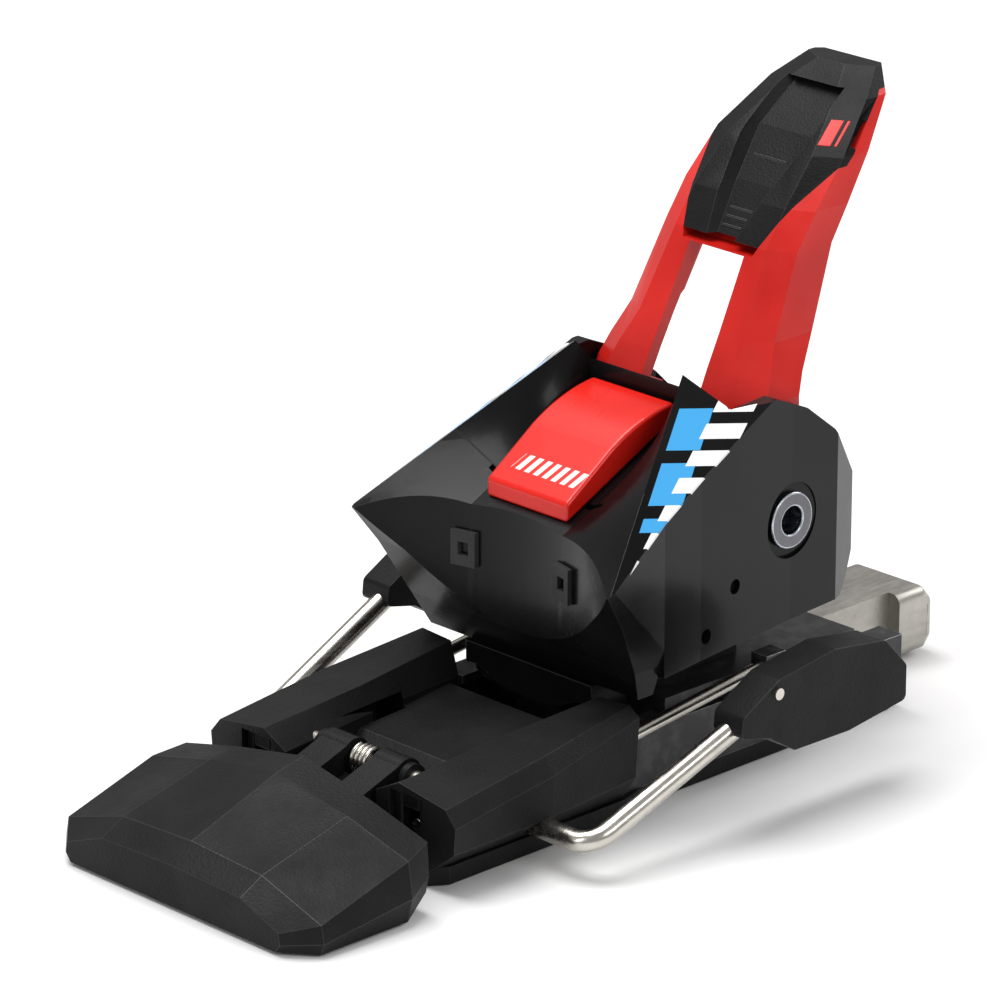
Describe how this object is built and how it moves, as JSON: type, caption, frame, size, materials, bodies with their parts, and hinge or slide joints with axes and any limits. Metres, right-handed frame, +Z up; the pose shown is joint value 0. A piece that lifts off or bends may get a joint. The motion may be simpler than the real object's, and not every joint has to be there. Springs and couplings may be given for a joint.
{
  "type": "ski binding heel unit",
  "caption": "Alpine ski binding heel unit: boot cup on a sprung pivoting housing, fork lever, sliding carriage on a rail, and a ski brake with pedal and side arms.",
  "frame": {"origin": "centre of the four ski screws, on the underside of the base plate that rests on the ski", "axes": "+X towards the toe of the ski boot, +Y to the skier's left, +Z up from the ski"},
  "size_m": [0.222, 0.1186, 0.143],
  "materials": {
    "black_plastic": "moulded, fine texture",
    "satin_black": "satin moulded",
    "gloss_black": "polished moulding",
    "red_plastic": "semi-gloss moulding",
    "red_paint": "semi-gloss coat",
    "bright_steel": "zinc plated",
    "rail_steel": "black electro-coat, worn bright along the edges",
    "zinc": "cast, satin",
    "tube_alloy": "black anodised",
    "grey_rubber": "matt"
  },
  "bodies": {
    "base": {"base_plate": "black_plastic", "rail": "rail_steel", "side_rod_left": "bright_steel", "side_rod_right": "bright_steel", "brake_block": "black_plastic", "hinge_pin": "bright_steel", "hinge_sleeves": "satin_black", "brake_spring": "bright_steel"},
    "brake_pedal": {"brake_pedal": "black_plastic", "pedal_hinge": "satin_black"},
    "brake_arm_left": {"brake_wire_left": "bright_steel", "brake_foot_left": "black_plastic", "foot_rivet_left": "bright_steel"},
    "brake_arm_right": {"brake_wire_right": "bright_steel", "brake_foot_right": "black_plastic", "foot_rivet_right": "bright_steel"},
    "carriage": {"carriage": "rail_steel", "pressure_spring": "bright_steel", "pressure_plug": "bright_steel", "roller_pin": "bright_steel", "lock_pin": "bright_steel"},
    "cam_roller": {"cam_roller": "bright_steel"},
    "lock_lever": {"lock_lever": "zinc"},
    "housing": {"heel_housing": "gloss_black", "heel_jaw": "gloss_black", "treadle": "gloss_black", "top_insert": "red_plastic", "cup_lugs": "grey_rubber", "side_pins": "satin_black", "pivot_stud_left": "bright_steel", "pivot_stud_right": "bright_steel", "spring_tube": "tube_alloy", "release_spring": "bright_steel", "piston": "bright_steel"},
    "release_screw": {"release_screw": "bright_steel"},
    "spring_seat": {"spring_seat": "bright_steel"},
    "lever": {"lever": "red_paint", "lever_grip": "satin_black"}
  },
  "joints": [
    {"name": "length_slide", "type": "slide", "parent": "base", "child": "carriage", "axis": [1, 0, 0], "range_m": [-0.012, 0.003]},
    {"name": "tail_lock", "type": "hinge", "parent": "carriage", "child": "lock_lever", "pos_m": [-0.034, 0, 0.012], "axis": [0, 1, 0], "range_deg": [0, 16], "stiffness_Nm_per_rad": 0.6, "springref_deg": -11.46},
    {"name": "roller_spin", "type": "hinge", "parent": "carriage", "child": "cam_roller", "pos_m": [0.026, 0, 0.051], "axis": [0, 1, 0], "continuous": true},
    {"name": "heel_open", "type": "hinge", "parent": "carriage", "child": "housing", "pos_m": [-0.014, 0, 0.054], "axis": [0, -1, 0], "range_deg": [0, 36]},
    {"name": "lever_press", "type": "hinge", "parent": "housing", "child": "lever", "pos_m": [-0.014, 0, 0.054], "axis": [0, -1, 0], "range_deg": [0, 22]},
    {"name": "release_setting", "type": "hinge", "parent": "housing", "child": "release_screw", "pos_m": [-0.045, 0, 0.054], "axis": [-1, 0, 0], "range_deg": [0, 1441]},
    {"name": "seat_travel", "type": "slide", "parent": "housing", "child": "spring_seat", "axis": [-1, 0, 0], "range_m": [0, 0.005]},
    {"name": "pedal_swing", "type": "hinge", "parent": "base", "child": "brake_pedal", "pos_m": [0.084, 0, 0.017], "axis": [0, -1, 0], "range_deg": [0, 40]},
    {"name": "arm_left_swing", "type": "hinge", "parent": "base", "child": "brake_arm_left", "pos_m": [0.068, 0.0505, 0.008], "axis": [0, -1, 0], "range_deg": [0, 85]},
    {"name": "arm_right_swing", "type": "hinge", "parent": "base", "child": "brake_arm_right", "pos_m": [0.068, -0.0505, 0.008], "axis": [0, -1, 0], "range_deg": [0, 85]}
  ],
  "couplings": [
    {"joint": "lever_press", "follows": "heel_open", "ratio": 0.6},
    {"joint": "release_setting", "follows": "seat_travel", "rad_per_m": 5026.5},
    {"joint": "arm_left_swing", "follows": "pedal_swing", "ratio": 2.125},
    {"joint": "arm_right_swing", "follows": "pedal_swing", "ratio": 2.125}
  ]
}
